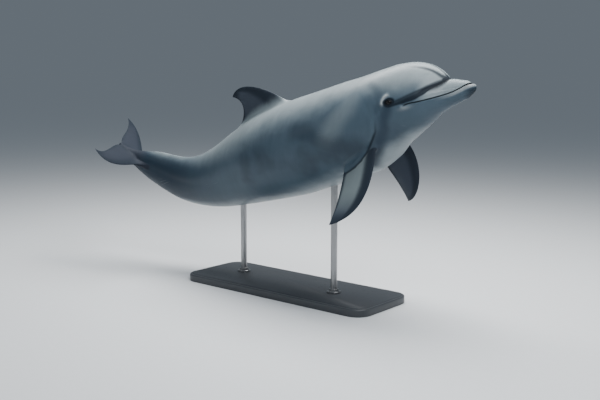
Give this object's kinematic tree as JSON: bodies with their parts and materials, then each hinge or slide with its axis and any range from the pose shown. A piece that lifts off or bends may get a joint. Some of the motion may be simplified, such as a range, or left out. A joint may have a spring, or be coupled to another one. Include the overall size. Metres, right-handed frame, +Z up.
{
  "type": "bottlenose dolphin",
  "caption": "Still life-size model of an adult bottlenose dolphin swimming, head raised and tail curled round, on a plain display stand with steel rods.",
  "frame": {"origin": "middle of the underside of the stand's base", "axes": "+X towards the dolphin's head, +Y to its left, +Z up from the floor"},
  "size_m": [2.5686, 0.8535, 1.2827],
  "materials": {
    "grey_side": "smooth, slightly wet grey skin",
    "slate_back": "smooth, slightly wet slate skin",
    "pale_belly": "smooth, slightly wet pale skin",
    "dark_fin": "smooth, slightly wet dark skin",
    "dark_eye": "clear, wet dark brown",
    "painted_base": "satin charcoal paint",
    "brushed_steel": "brushed steel"
  },
  "bodies": {
    "root": {"head": "grey_side", "neck": "grey_side", "chest": "grey_side", "trunk": "grey_side", "loin": "grey_side", "tail_stock": "grey_side", "tail_end": "grey_side", "melon": "slate_back", "upper_jaw": "grey_side", "lower_jaw": "pale_belly", "dorsal_fin": "dark_fin", "flipper_left": "dark_fin", "flipper_right": "dark_fin", "fluke_left": "dark_fin", "fluke_right": "dark_fin", "eye_left": "dark_eye", "eye_right": "dark_eye", "stand_base": "painted_base", "stand_rod_front": "brushed_steel", "stand_collar_front": "brushed_steel", "stand_rod_rear": "brushed_steel", "stand_collar_rear": "brushed_steel"}
  },
  "joints": []
}
